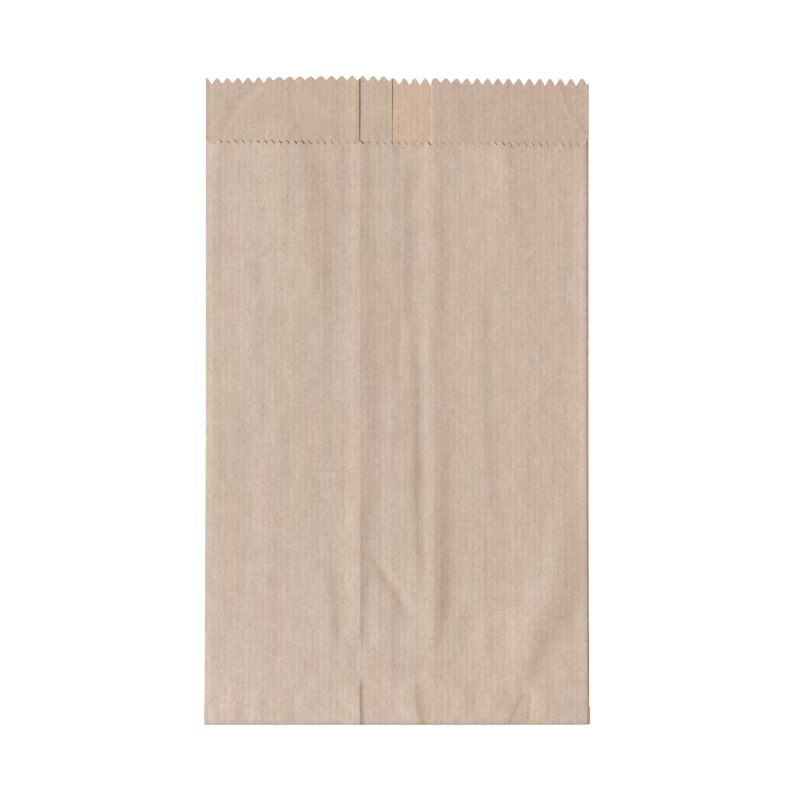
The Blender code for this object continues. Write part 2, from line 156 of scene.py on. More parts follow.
# Relief. A crest is a line through places (x, t, height, left, right): its height there and the
# widths of its flanks to the left and to the right, all in millimetres. A groove has heights below 0.
PANEL_CRESTS = (
    ((-14.7, 225.9, 0.09, 2.4, 3.4), (-14.8, 216.5, 0.14, 2.4, 3.4), (-14.8, 193.0, 0.17, 2.4, 4.0),
     (-14.8, 169.5, 0.16, 2.5, 6.5), (-14.7, 146.1, 0.13, 2.4, 7.0), (-14.7, 122.6, 0.16, 2.5, 5.6),
     (-14.7, 99.1, 0.25, 3.2, 4.0), (-14.8, 75.6, 0.36, 4.0, 2.8), (-15.0, 52.1, 0.37, 4.2, 2.3),
     (-15.1, 36.4, 0.27, 3.4, 1.7), (-14.9, 27.8, 0.00, 2.5, 2.0)),
    ((-28.6, 75.6, 0.00, 5.0, 2.6), (-27.4, 52.1, 0.30, 6.0, 2.6), (-25.4, 36.4, 0.36, 6.0, 2.4),
     (-24.6, 26.6, 0.00, 4.0, 2.0)),
    ((-23.5, 225.9, 0.14, 6.0, 2.6), (-23.5, 208.7, 0.12, 6.0, 2.6), (-23.1, 189.1, 0.04, 6.0, 3.0),
     (-23.1, 177.4, 0.00, 6.0, 3.0)),
    ((14.1, 225.9, 0.14, 3.2, 4.0), (14.1, 214.6, 0.25, 3.3, 4.4), (14.3, 169.5, 0.34, 3.2, 3.8),
     (14.1, 146.1, 0.29, 3.4, 5.0), (14.1, 122.6, 0.31, 3.6, 6.5), (14.3, 99.1, 0.31, 2.8, 5.5),
     (14.3, 75.6, 0.26, 2.8, 4.5), (14.1, 52.1, 0.30, 3.0, 4.0), (14.1, 36.4, 0.30, 2.6, 3.2),
     (14.1, 28.6, 0.00, 2.4, 3.0)),
    ((14.5, 118.6, 0.00, 24.0, 6.0), (14.5, 95.2, 0.40, 24.0, 6.0), (14.5, 75.6, 0.55, 24.0, 5.4),
     (14.5, 48.2, 0.58, 24.0, 5.0), (14.1, 34.5, 0.42, 16.0, 4.0), (14.1, 26.6, 0.00, 10.0, 3.0)),
    ((1.8, 225.9, 0.02, 6.0, 3.0), (2.0, 213.5, 0.28, 6.0, 3.0), (2.3, 169.5, 0.30, 6.0, 3.0),
     (3.0, 157.8, 0.00, 5.0, 3.0)),
    ((4.3, 163.3, 0.00, 2.8, 2.5), (5.1, 146.1, 0.30, 2.8, 2.3), (5.5, 122.6, 0.53, 9.0, 2.6),
     (5.7, 99.1, 0.58, 11.0, 2.6), (5.9, 75.6, 0.46, 9.0, 2.6), (7.5, 52.1, 0.14, 4.0, 3.0),
     (9.0, 38.4, 0.00, 3.0, 3.0)),
    ((-15.0, 190.0, 0.00, 45.0, 15.0), (-15.0, 165.0, 0.26, 45.0, 16.0), (-15.0, 140.0, 0.42, 45.0, 16.0),
     (-15.0, 100.0, 0.46, 45.0, 16.0), (-15.0, 80.0, 0.22, 45.0, 15.0), (-15.0, 60.0, 0.00, 45.0, 15.0)),
    ((-10.6, 68.5, 0.00, 1.9, 2.8), (-8.2, 63.8, -0.20, 1.9, 2.8), (-3.5, 56.8, -0.27, 1.9, 2.8),
     (0.8, 50.1, -0.29, 1.9, 2.8), (3.5, 45.0, -0.22, 1.9, 2.8), (6.3, 37.2, 0.00, 1.9, 2.8)),
    ((-7.4, 54.0, 0.00, 3.2, 14.0), (-7.0, 42.3, 0.18, 3.2, 14.0), (-6.2, 32.5, 0.16, 3.0, 14.0),
     (-5.5, 24.7, 0.00, 3.0, 12.0)),
    ((70.9, 87.3, 0.00, 8.0, 5.0), (66.6, 77.5, 0.24, 8.0, 5.0), (61.1, 54.0, 0.74, 8.5, 9.0),
     (52.9, 34.1, 1.05, 9.5, 6.4), (49.4, 21.5, 0.50, 7.0, 4.5), (45.0, 12.1, 0.00, 6.0, 4.0)),
    ((-55.6, 189.1, 0.00, 4.0, 1.9), (-55.4, 177.4, 0.12, 4.0, 1.9), (-55.2, 157.8, 0.12, 4.0, 1.9),
     (-54.8, 134.3, 0.08, 4.0, 2.0), (-54.0, 116.7, 0.00, 4.0, 2.0)),
    ((32.5, 169.5, 0.00, 7.0, 3.2), (32.5, 150.0, 0.32, 8.0, 3.2), (32.9, 126.5, 0.32, 8.0, 3.4),
     (33.3, 99.1, 0.42, 9.0, 4.2), (34.1, 83.4, 0.12, 8.0, 4.0), (34.5, 75.6, 0.00, 7.0, 4.0)),
    ((41.5, 225.9, 0.33, 5.5, 8.0), (41.9, 212.6, 0.36, 5.5, 9.0), (42.3, 193.0, 0.26, 6.0, 9.0),
     (42.7, 173.5, 0.00, 6.0, 9.0)),
    ((-40.3, 225.9, 0.72, 15.0, 7.0), (-39.5, 212.6, 0.75, 15.0, 8.0), (-35.5, 197.0, 0.58, 15.0, 8.5),
     (-32.1, 177.4, 0.50, 14.0, 5.0), (-30.9, 161.7, 0.20, 10.0, 5.0), (-30.1, 150.0, 0.00, 10.0, 5.0)),
    ((-72.0, 146.1, 0.00, 3.0, 5.0), (-71.6, 122.6, 0.32, 3.6, 6.0), (-71.6, 99.1, 0.34, 3.6, 6.0),
     (-72.0, 79.5, 0.00, 3.0, 5.0)),
    ((23.5, 45.0, 0.00, 4.0, 2.4), (23.5, 36.4, 0.20, 5.0, 2.4), (23.9, 27.8, 0.00, 4.0, 2.4)),
    ((35.7, 46.2, 0.00, 4.5, 3.0), (35.3, 38.4, 0.24, 4.5, 3.0), (34.1, 28.6, 0.18, 4.5, 3.0),
     (33.3, 22.7, 0.00, 4.5, 3.0)),
    ((-71.2, 225.9, 0.27, 3.2, 30.0), (-71.2, 118.6, 0.25, 3.2, 30.0), (-71.8, 9.0, 0.27, 3.2, 30.0)),
    ((75.6, 44.3, 0.00, 10.0, 6.0), (75.6, 28.6, 0.38, 10.0, 6.0), (75.6, 12.9, 0.12, 10.0, 6.0),
     (75.6, 3.1, 0.00, 10.0, 6.0)),
)
# The crisp line that the left gusset's inner fold presses into the front
FOLD_LINE = ((-14.4, 224.0, 0.00, 0.7, 0.8), (-14.5, 212.0, 0.035, 0.7, 0.8), (-14.5, 110.0, 0.03, 0.7, 0.8),
             (-14.5, 75.0, 0.06, 0.7, 1.0), (-14.4, 45.0, 0.07, 0.7, 1.2), (-14.4, 26.0, 0.00, 0.7, 1.0))
PINCHES = (
    ((-14.5, 19.2, 0.00, 3.0, 1.0), (-14.9, 13.7, 0.40, 4.0, 0.95), (-14.5, -1.2, 0.44, 4.0, 0.95)),
    ((6.5, 16.1, 0.00, 4.5, 2.8), (5.9, 12.1, 0.45, 6.0, 2.8), (7.1, 5.1, 0.45, 5.5, 2.4),
     (8.6, -1.2, 0.36, 5.0, 2.0)),
    ((51.7, 14.5, 0.00, 2.2, 4.0), (50.3, 10.2, -0.36, 1.8, 5.5), (47.8, 5.1, -0.44, 1.5, 5.5),
     (45.2, -1.2, -0.46, 1.5, 5.5)),
    ((25.1, 16.8, 0.00, 3.0, 4.0), (25.1, 9.0, 0.26, 3.0, 4.5), (25.5, 2.0, 0.08, 3.0, 4.0)),
    ((38.4, 16.8, 0.00, 3.5, 3.0), (38.0, 9.0, 0.26, 3.5, 3.4), (37.6, 2.0, 0.08, 3.5, 3.0)),
    ((56.4, 16.8, 0.00, 5.0, 4.0), (56.4, 9.0, 0.22, 5.0, 4.0), (56.0, 2.0, 0.00, 5.0, 4.0)),
    ((-63.0, 16.1, 0.00, 4.0, 3.0), (-63.0, 8.2, 0.24, 4.0, 2.6), (-64.2, 1.2, 0.10, 4.0, 3.0)),
    ((-53.6, 16.1, 0.00, 4.0, 3.0), (-53.6, 8.2, 0.26, 4.0, 2.6), (-54.4, 1.2, 0.10, 4.0, 3.0)),
    ((-45.0, 16.1, 0.00, 4.0, 3.0), (-45.0, 8.2, 0.24, 4.0, 2.6), (-44.2, 1.2, 0.10, 4.0, 3.0)),
    ((-35.6, 16.1, 0.00, 8.0, 3.0), (-35.6, 8.2, 0.10, 8.0, 3.0), (-35.6, 1.2, 0.00, 8.0, 3.0)),
)
# The left gusset's inner fold springs up in the mouth, and the right side stands off the table
MOUTH_FOLD = ((-14.75, 228.0, 0.00, 9.0, 3.0), (-14.75, 237.0, 0.17, 9.0, 3.0),
              (-14.75, 254.0, 0.17, 9.0, 3.0))
RIGHT_EDGE = ((75.3, 222.0, 0.00, 3.4, 3.0), (75.3, 204.8, 0.37, 3.6, 3.0), (75.3, 95.2, 0.37, 3.6, 3.0),
              (75.3, 63.8, 0.00, 3.4, 3.0))
LEFT_GUSSET_CREASES = (
    ((-51.0, 251.0, 0.00, 3.0, 0.4), (-53.4, 248.6, -0.13, 3.0, 0.4), (-60.4, 243.1, -0.13, 3.0, 0.4),
     (-66.4, 234.0, -0.12, 3.0, 0.4), (-70.5, 228.4, 0.00, 3.0, 0.4)),
)
RIGHT_GUSSET_CREASES = (
    ((62.0, 252.5, 0.00, 0.5, 0.9), (64.1, 248.0, 0.09, 0.5, 0.9), (67.0, 239.2, 0.09, 0.5, 0.9),
     (74.0, 229.8, 0.08, 0.5, 0.9)),
    ((46.5, 243.4, 0.00, 0.5, 0.5), (48.6, 243.1, 0.07, 0.5, 0.5), (52.5, 242.4, 0.00, 0.5, 0.5)),
    ((48.2, 241.0, 0.00, 0.5, 0.4), (51.3, 239.6, 0.06, 0.5, 0.4), (53.0, 239.4, 0.00, 0.5, 0.4)),
)

# Broad rises and falls across the bag: from x, to x and height, in millimetres
RISES = ((-75, -38, 0.50), (-17, 30, -0.35), (45, 72, -0.15))
FRONT_CURL = ((-74, -69, 0.10), (-32, -22, -0.10), (30, 38, 0.13))     # of the front's cut edge
RISES_START = 26 * MM
RISES_RAMP = 45 * MM
CURL_MEAN = 0.6                 # share of the curl that every tooth has
CURL_SWING = 0.35
CURL_WAVES = (1.25, 2.1)        # lengths by which it swings, in millimetres to the radian
CURL_REACH = 5 * MM
WAVES = 44                      # slow waves, and how steep each is
WAVE_SLOPE = 0.0023
WAVE_TURNS = (0.26, 0.95)       # radians to the millimetre across the bag, from and to
WAVE_LEAN = 0.09                # their spread along it
SEED = 7
MIN_RELIEF = 0.03 * MM          # the least that a layer stands off the one under it
WAVES_SIDE_FADE = 6 * MM        # the waves fade out towards the sides, the bottom and the mouth
WAVES_BOTTOM_FADE = 30 * MM
WAVES_MOUTH_LOSS = 0.8
MOUTH_START = 60 * MM           # the mouth's flatness begins this far below the back's teeth
MOUTH_RAMP = 45 * MM
INSIDE_START = 6 * MM           # past the front's cut the crests fade out
INSIDE_RAMP = 10 * MM
INSIDE_LOSS = 0.7               # share of the least relief that is lost there

# How the front comes down between the gussets. The first two values are in layers
CHANNEL_LEVEL = 1.6             # its level there
MOUTH_DIP = 0.7                 # how much lower it lies at its cut
FLAP_PRESS = 30 * MM            # length over which the front comes free of the glued bottom
SIDE_PRESS = 8 * MM             # width at its right fold over which it is free all the same
DIP_START = 30 * MM             # the front's cut dips from this far below it
DIP_RAMP = 28 * MM
LEFT_BANK = 12 * MM             # width over which the front comes down into the channel
RIGHT_BANK = 9 * MM
LEFT_BANK_LOSS = 7 * MM         # how much narrower that is at the mouth
RIGHT_BANK_LOSS = 5 * MM
SEAM_SPRING = 0.12 * MM         # the seam's inner edge springs up in the mouth
SEAM_SPRING_WIDTH = 9 * MM
SEAM_SPRING_RAMP = 20 * MM

# The front's right fold stands out further low down, and the gusset's does past the front's cut
SLACK = 0.19 * MM
SLACK_START = 85 * MM
SLACK_RAMP = 30 * MM
SLACK_WIDTH = 6 * MM
MOUTH_SLACK = 0.8 * FRONT_INSET
MOUTH_SLACK_START = 0.5 * MM
MOUTH_SLACK_RAMP = 1.5 * MM

# The paper is a little cooler on the left and rosier on the right. It is greyer at its left fold, has
# painted bounce light at its right fold and painted shade at its bottom fold
LEFT_TINT = (0.980, 0.987, 0.988)
RIGHT_TINT = (1.024, 1.013, 1.003)
RIGHT_MOUTH_TINT = (0.993, 0.973, 0.967)
LEFT_EDGE_TINT = (0.92, 0.98, 1.03)
# Painted light: white light bounced from the table, painted lighter and bluer onto the right fold's faces
# that lie in shade
RIGHT_FOLD_BOUNCE_LIGHT = (1.10, 1.25, 1.42)
# Painted shade: darker on the bottom fold's roll, which turns away from the light
BOTTOM_ROLL_SHADE = (0.88, 0.90, 0.93)
TINT_TURN = (-30 * MM, 45 * MM)         # from where to where the left tint turns into the right one
# Shares of the paler tint, painted light that falls more on the left side and the lower left: down the left
# side, at the lower end, in its left corner, in its last strip
PALE_SIDE, PALE_END, PALE_CORNER, PALE_STRIP = 0.17, 0.23, 0.40, 0.46
PALE_WIDTH = 60 * MM
PALE_END_REACH = 95 * MM
PALE_STRIP_REACH = 26 * MM
# Where the marks lie. The first place of each pair has none of the mark, and the second has all of it
# Painted light: the back panel's single layer in the mouth is painted lighter and warmer, for light shining
# up through the thin paper from the white table
SINGLE_LAYER_TOP = 1.5 * LAYER
MOUTH_MARK = (-8 * MM, -2 * MM)         # from the front's cut, where the mouth's paper begins
SINGLE_LEFT = (-12 * MM, -8 * MM)       # from the seam's edge, where the single layer begins
SINGLE_RIGHT = (8 * MM, 4 * MM)         # from the right inner fold, where it ends
LEFT_EDGE_AT = (0.1 * MM, -0.1 * MM)    # from the left side
# where the painted bounce light lies at the right fold
RIGHT_EDGE_AT = (-0.6 * MM, -0.4 * MM)  # from the front's right fold
# where the painted shade lies on the bottom roll
BOTTOM_EDGE_AT = (0.9 * MM, 0.2 * MM)
EDGE_TURN = (0.3, 0.6)                  # how far a face has turned to the right, as its normal's x

# The paper: base colours of its pinker and its beiger streaks, and what multiplies them
PINK_PAPER = (0.5995, 0.4625, 0.3742, 1.0)
BEIGE_PAPER = (0.5895, 0.4695, 0.3758, 1.0)
WARMTH_TINTS = ((1.005, 0.998, 0.979, 1.0), (0.995, 1.002, 1.021, 1.0))
BLUSH_TINTS = ((1.006, 0.9955, 0.989, 1.0), (0.994, 1.0045, 1.011, 1.0))
INNER_TINT = (0.975, 0.957, 0.94, 1.0)
# painted light that shines up through the single layer from the table
SINGLE_LAYER_LIGHT_TINT = (1.107, 1.059, 0.978, 1.0)
# painted light: paler and cooler where more light falls
PAINTED_LIGHT_TINT = (1.0975, 1.12, 1.15, 1.0)
SHIVE_COLOUR = (0.28, 0.17, 0.10, 1.0)
TINT_EDGES = (0.32, 0.68)       # values of a noise between which one tint turns into the other
# Its noises, with their cells to the millimetre across and along the sheet
Noise = namedtuple("Noise", "across along shift detail roughness distortion")
STREAKS = Noise(0.30, 0.012, (0.0, 0.0, 0.0), 2.0, 0.6, 0.0)
PINKNESS = Noise(0.085, 0.011, (31.0, 4.0, 0.0), 1.0, 0.5, 0.0)
WARMTH = Noise(0.11, 0.013, (7.0, 53.0, 0.0), 1.0, 0.5, 0.0)
BLUSH = Noise(0.055, 0.040, (61.0, 23.0, 0.0), 1.0, 0.6, 0.0)
MOTTLING = Noise(0.17, 0.11, (7.0, 3.0, 0.0), 1.0, 0.8, 0.0)
GRAIN = Noise(0.62, 0.52, (3.0, 9.0, 0.0), 2.0, 0.95, 0.0)
FIBRES = Noise(1.7, 1.0, (17.0, 2.0, 0.0), 2.0, 0.8, 0.6)
STREAK_DEPTH, MOTTLING_DEPTH, GRAIN_DEPTH, FIBRE_DEPTH = 0.13, 0.17, 0.38, 0.42
RIB_PITCH = 2.415               # of the ribs along the sheet, in millimetres
RIB_DEPTH, HALF_RIB_DEPTH = 0.024, 0.010
TONE_GAINS = (0.80, 1.0, 1.25)  # how strongly the tone works on red, green and blue
SHIVE_CELLS = (0.16, 0.07, 1.0) # cells to the millimetre, a few of which hold a shive, a dark splinter
SHIVE_CHANCE = 0.85             # a cell's chance value above which it holds one
SHIVE_RADIUS = (0.015, 0.045)
SHIVE_STRENGTH = 0.45
GRAIN_EDGES = (0.2, 0.8)
ROUGHNESS = (0.76, 0.90)        # at those values of the grain
SPECULAR = 0.3
BUMP_DEPTH = 0.014 * MM
FIBRE_BUMP, RIB_BUMP, GRAIN_BUMP = 0.5, 0.28, 0.6

# The table, the light and the camera, in metres and watts
TABLE_HALF = 4.0
TABLE_LEVEL = -0.05 * MM
TABLE_GREY = (0.8, 0.8, 0.8, 1.0)
TABLE_ROUGHNESS = 0.9
TABLE_GLOW = 1.2                # of the white that the camera sees, and its share in the table
TABLE_GLOW_SHARE = 0.75
WINDOW_PLACE = (-5.29, 0.20, 2.82)
WINDOW_SIZE = 1.58
WINDOW_POWER = 506.0
WINDOW_COLOUR = (0.84, 1.01, 1.17)
FILL_COLOUR = (1.0, 0.72, 0.47, 1.0)
FILL_STRENGTH = 0.43
PICTURE_WIDTH = 313.2 * MM
PICTURE_CENTRE = Vector((1.2 * MM, -0.1 * MM, 0.0))
LENS, SENSOR = 110.0, 36.0      # in millimetres
CLIP_START = 0.01


def smooth(value):
    value = np.clip(value, 0.0, 1.0)
    return value * value * (3 - 2 * value)


def between(value, places, origin=0.0):
    """0 before the first of two places, counted from an origin, and 1 past the second."""
    start, end = places
    return smooth((value - origin - start) / (end - start))


def table(places, x):
    """Value in metres at x of a table of places (x, value) in millimetres."""
    return MM * np.interp(x / MM, [place[0] for place in places], [place[1] for place in places])


def risen(rises, x):
    """Sum at x of the rises that have been passed, in metres."""
    return sum(rise * MM * smooth((x / MM - start) / (end - start)) for start, end, rise in rises)


def crest_height(crest, x, t):
    """Height of one crest at (x, t), in metres."""
    best = np.full(x.shape, 1e9)
    result = np.zeros(x.shape)
    for here, there in zip(crest, crest[1:]):
        x0, t0, *first = [value * MM for value in here]
        x1, t1, *last = [value * MM for value in there]
        length = np.hypot(x1 - x0, t1 - t0)
        ux, ut = (x1 - x0) / length, (t1 - t0) / length
        share = np.clip(((x - x0) * ux + (t - t0) * ut) / length, 0.0, 1.0)
        dx, dt = x - x0 - share * length * ux, t - t0 - share * length * ut
        distance = np.hypot(dx, dt)
        shape = [a + (b - a) * share for a, b in zip(first, last)]
        width = np.where(dt * ux > dx * ut, shape[2], shape[1])
        nearer = distance < best
        best = np.where(nearer, distance, best)
        result = np.where(nearer, shape[0] * np.exp(-((distance / width) ** 2)), result)
    return result


def slow_waves(x, t):
    """The paper's slow, uneven waves, longer along the bag than across it."""
    chance = np.random.RandomState(SEED)
    total = np.zeros(x.shape)
    for _ in range(WAVES):
        across = np.exp(chance.uniform(*np.log(WAVE_TURNS))) / MM
        along = chance.normal(0.0, WAVE_LEAN) / MM
        phase = chance.uniform(0, 2 * pi)
        total += np.sin(across * x + along * t + phase) / across
    return total * WAVE_SLOPE


def panel_relief(x, t):
    """How far the paper stands up from a pressed stack, shared out among the layers."""
    edges = smooth((x - LEFT) / WAVES_SIDE_FADE) * smooth((RIGHT - x) / WAVES_SIDE_FADE)
    mouth = smooth((t - (LENGTH - MOUTH_START)) / MOUTH_RAMP)
    total = slow_waves(x, t) * edges * smooth(t / WAVES_BOTTOM_FADE) * (1 - WAVES_MOUTH_LOSS * mouth)
    total += risen(RISES, x) * smooth((t - RISES_START) / RISES_RAMP) * (1 - mouth)
    inside = smooth((t - LENGTH + LIP - INSIDE_START) / INSIDE_RAMP)
    for crest in PANEL_CRESTS:
        total += crest_height(crest, x, t) * (1 - inside)
    total += crest_height(MOUTH_FOLD, x, t)
    pressed = MIN_RELIEF * (1 - INSIDE_LOSS * inside)
    return pressed * np.logaddexp(0.0, total / pressed)


def front_curl(x, t):
    """How far the front's cut edge curls up, tooth by tooth."""
    uneven = CURL_MEAN
    for number, wave in enumerate(CURL_WAVES):
        uneven = uneven + CURL_SWING * np.sin(x / (wave * MM) + number)
    return risen(FRONT_CURL, x) * uneven * smooth((t - LENGTH + LIP + CURL_REACH) / CURL_REACH)


def lap_height(x):
    """Share of a layer by which the seam's lap lifts the paper over it."""
    return smooth((x - (OUTER_SEAM_EDGE - LAP_RAMP)) / LAP_RAMP)


def front_level(x, t):
    """Layers under the front: the gussets at the sides, only the back panel between them."""
    pressed = 1 - smooth((t - FLAP) / FLAP_PRESS)
    pressed = pressed * (1 - smooth((x - FRONT_RIGHT + SIDE_PRESS) / SIDE_PRESS))
    mouth = smooth((t - (LENGTH - LIP - DIP_START)) / DIP_RAMP)
    from_left = smooth((x - CHANNEL_LEFT) / (LEFT_BANK - mouth * LEFT_BANK_LOSS))
    from_right = smooth((CHANNEL_RIGHT - x) / (RIGHT_BANK - mouth * RIGHT_BANK_LOSS))
    over_lap = 1 - smooth((x - SEAM_EDGE) / LAP_RAMP)
    sides = FRONT + lap_height(x) * (1 - from_left)
    dip = (sides - CHANNEL_LEVEL + MOUTH_DIP * mouth - over_lap) * np.minimum(from_left, from_right)
    return (sides - dip) * (1 - pressed) + STACK * pressed


def height(index, x, t):
    """Height of one run's layer above the back panel's own layer."""
    run = PATH[index]
    relief = RELIEF_SHARE[run.layer] * panel_relief(x, t) + crest_height(RIGHT_EDGE, x, t)
    if run.layer == FRONT:
        level = front_level(x, t) * LAYER + relief + front_curl(x, t)
        for crest in (FOLD_LINE, *PINCHES):
            level = level + crest_height(crest, x, t)
        return level
    level = run.layer * LAYER + relief
    if run.over_lap:
        level = level + lap_height(x) * LAYER
    if index == 0:
        edge = smooth((x - SEAM_EDGE + SEAM_SPRING_WIDTH) / SEAM_SPRING_WIDTH)
        level = level + SEAM_SPRING * edge * smooth((t - LENGTH + LIP) / SEAM_SPRING_RAMP)
    creases = {LEFT_GUSSET_RUN: LEFT_GUSSET_CREASES, RIGHT_GUSSET_RUN: RIGHT_GUSSET_CREASES}
    for crest in creases.get(index, ()):
        level = level + crest_height(crest, x, t)
    return level


def lift(t):
    """Height by which the flap and the tab under it raise the bag."""
    over_flap = 1 - smooth((t - FLAP - CLEARANCE) / FLAP_SETTLE)
    over_tab = 1 - smooth((t - FLAP - LIP - CLEARANCE) / TAB_SETTLE)
    return LAYER * over_tab + (FLAP_LIFT - LAYER) * over_flap


def fold_turn(index, t):
    """Heights of the two layers that meet at the fold after one run, and half their distance."""
    x = np.full(t.shape, PATH[index].end)
    low = height(index, x, t)
    high = height(index + 1, x, t)
    return low, high, np.abs(high - low) / 2


def fold_run(index, along, t):
    """Fold the points of one run and of the crease after it."""
    run = PATH[index]
    direction = 1.0 if run.end > run.start else -1.0
    length = LENGTHS[index]
    last = index + 1 == len(PATH)
    start = run.start + (direction * fold_turn(index - 1, t)[2] if index > 0 else 0.0)
    end = run.end - (0.0 if last else direction * fold_turn(index, t)[2])
    x = start + (end - start) * np.clip(along / length, 0.0, 1.0)
    z = height(index, x, t)
    if not last:
        low, high, radius = fold_turn(index, t)
        angle = pi * np.clip((along - length) / CREASE_BAND, 0.0, 1.0)
        turning = along > length
        x = np.where(turning, run.end - direction * radius * (1 - np.sin(angle)), x)
        z = np.where(turning, (low + high) / 2 - (high - low) / 2 * np.cos(angle), z)
    return x, z


def fold_sheet(s, t):
    """Fold points of the blank to their places in the bag."""
    body_t = np.maximum(t, 0.0)
    x = np.zeros(s.shape)
    above = np.zeros(s.shape)
    index_of = np.clip(np.searchsorted(STARTS, s, side="right") - 1, 0, len(PATH) - 1)
    for index in range(len(PATH)):
        mine = index_of == index
        x[mine], above[mine] = fold_run(index, s[mine] - STARTS[index], body_t[mine])
    turned = np.clip(-t / BEND_BAND, 0.0, 1.0)
    fading = smooth(2 * turned) * (index_of == FRONT_RUN)   # the pinches end halfway round the fold
    for crest in PINCHES:
        above = above - fading * crest_height(crest, x, body_t)
    radius = BEND_RADIUS + above
    reach = np.minimum(radius, BEND_RADIUS + STACK * LAYER)
    y = np.where(t >= 0, t, -reach * np.sin(pi * turned) + np.maximum(-t - BEND_BAND, 0.0))
    z = np.where(t >= 0, PAPER / 2 + lift(t) + above, BEND_AXIS + radius * np.cos(pi * turned))
    z = np.maximum(z, PAPER / 2)        # the tab is pressed on the table
    flare = smooth((FLARE_START - body_t) / (FLARE_START - FLAP))
    x = x + flare * (RIGHT_FLARE * smooth(x / RIGHT) - LEFT_FLARE * smooth(-x / RIGHT))
    in_front = (index_of == FRONT_RUN) | (index_of == RIGHT_GUSSET_RUN)
    past_cut = smooth((t - LENGTH + LIP - MOUTH_SLACK_START) / MOUTH_SLACK_RAMP)
    slack = SLACK * smooth((SLACK_START - t) / SLACK_RAMP) + MOUTH_SLACK * past_cut
    x = x + slack * in_front * smooth((x - FRONT_RIGHT + SLACK_WIDTH) / SLACK_WIDTH)
    x = x * (1 + 2 * FLAP_SPREAD / (RIGHT - LEFT) * smooth(turned))
    return np.stack([x, y + BOTTOM_Y, z], axis=1)


def sheet_s(index, x):
    return STARTS[index] + abs(x - PATH[index].start)


def tooth_cut(phase):
    """Share of a tooth's depth that is cut away at a phase of its pitch: 0 on the tip."""
    reach = np.hypot(0.5, TIP_SHARPNESS) - TIP_SHARPNESS
    return (np.hypot(phase, TIP_SHARPNESS) - TIP_SHARPNESS) / reach


def toothed_line(x_from, x_to, pitch, tip, depth, slip=()):
    """Points (x, share of the depth cut away) along a row of teeth, in order of travel."""
    low, high = min(x_from, x_to), max(x_from, x_to)
    first = int(np.floor((low - tip) / pitch)) - 1
    last = int(np.ceil((high - tip) / pitch)) + 1
    places = []
    for tooth in range(first, last + 1):
        places += [tip + (tooth + phase) * pitch for phase in TOOTH_PHASES]
    places = [x + risen(slip, x) for x in places]
    margin = pitch * TOOTH_MARGIN
    inner = [x for x in places if low + margin < x < high - margin]
    line = []
    for x in sorted([low, high] + inner):
        phase = (x - risen(slip, x) - tip) / pitch
        tooth = round(phase)
        uneven = 1 + TOOTH_UNEVENNESS * sin(tooth * TOOTH_SHUFFLE + tip / MM)
        line.append((x, depth * uneven * tooth_cut(phase - tooth)))
    return line if x_to > x_from else line[::-1]


def coarse_edge(index, mouth):
    """One run's stretch of the toothed cut of the back panel and gussets."""
    run = PATH[index]
    points = []
    slip = {LEFT_GUSSET_RUN: LEFT_SLIP, RIGHT_GUSSET_RUN: RIGHT_SLIP}.get(index, ()) if mouth else ()
    for x, share in toothed_line(run.start, run.end, COARSE_PITCH, COARSE_TIP, 1.0, slip):
        t = share * COARSE_DEPTH - FLAP - BEND_BAND
        if mouth:
            t = LENGTH - tan(CUT_SLOPE) * x - share * table(MOUTH_DEPTHS, x)
            if index <= LEFT_GUSSET_RUN:
                t += table(LEFT_CREEP, x)
            if index == LEFT_GUSSET_RUN:
                t += risen(SHORT_TIPS, x) * (1 - share)
        points.append((sheet_s(index, x), t))
    return points


def corner_arc(slit_s, tooth):
    """A quarter round from the foot of a slit to the first tooth, without the tooth itself."""
    width = tooth[0] - slit_s
    angles = [pi / 2 * i / CORNER_STEPS for i in range(CORNER_STEPS)]
    return [(tooth[0] - width * cos(a), tooth[1] + CORNER * (1 - sin(a))) for a in angles]


def front_edge():
    """The front panel's cut: down a slit, round a corner, along the fine teeth and up again."""
    line = toothed_line(LEFT + CORNER, FRONT_RIGHT - CORNER, FINE_PITCH, FINE_TIP, FINE_DEPTH)
    teeth = [(sheet_s(FRONT_RUN, x), LENGTH - LIP - tan(FRONT_SLOPE) * x - cut) for x, cut in line]
    left_slit = STARTS[FRONT_RUN] - SLIT_PLACE * CREASE_BAND
    right_slit = STARTS[FRONT_RUN] + LENGTHS[FRONT_RUN] + SLIT_PLACE * CREASE_BAND
    top_left = [(left_slit, LENGTH - LEFT_SLIT_DEPTH)]
    top_right = [(right_slit, LENGTH - RIGHT_SLIT_DEPTH)]
    left = top_left + corner_arc(left_slit, teeth[0])
    right = corner_arc(right_slit, teeth[-1])[::-1] + top_right
    return left + teeth + right


def tab_edge():
    """The end of the front panel that is folded under and glued."""
    start, end = LEFT + TAB_INSET, FRONT_RIGHT - TAB_INSET
    foot = -FLAP - BEND_BAND
    line = toothed_line(start + CORNER, end - CORNER, FINE_PITCH, FINE_TIP, FINE_DEPTH)
    teeth = [(sheet_s(FRONT_RUN, x), foot - LIP + cut) for x, cut in line]
    left = [(sheet_s(FRONT_RUN, start), foot), (sheet_s(FRONT_RUN, start), foot - LIP + CORNER)]
    right = [(sheet_s(FRONT_RUN, end), foot - LIP + CORNER), (sheet_s(FRONT_RUN, end), foot)]
    return left + teeth + right


def blank_outline():
    """The cut outline of the flat sheet: along the mouth, then back along the bottom."""
    mouth, bottom = [], []
    for index in range(len(PATH)):
        front = index == FRONT_RUN
        mouth += front_edge() if front else coarse_edge(index, True)
        bottom += tab_edge() if front else coarse_edge(index, False)
    return mouth + bottom[::-1]


def steps(start, end, size):
    """Places between start and end at about the given spacing, without the ends."""
    count = max(round(abs(end - start) / size), 1)
    return [start + (end - start) * i / count for i in range(1, count)]


def bisect(blank, point, normal, faces=None):
    """Cut a line across the blank, or across some of its faces."""
    if faces is None:
        faces = blank.faces[:]
    edges = list({edge for face in faces for edge in face.edges})
    corners = list({vertex for face in faces for vertex in face.verts})
    everything = corners + edges + faces
    bmesh.ops.bisect_plane(blank, geom=everything, dist=CORNER_CATCH, plane_co=point, plane_no=normal)


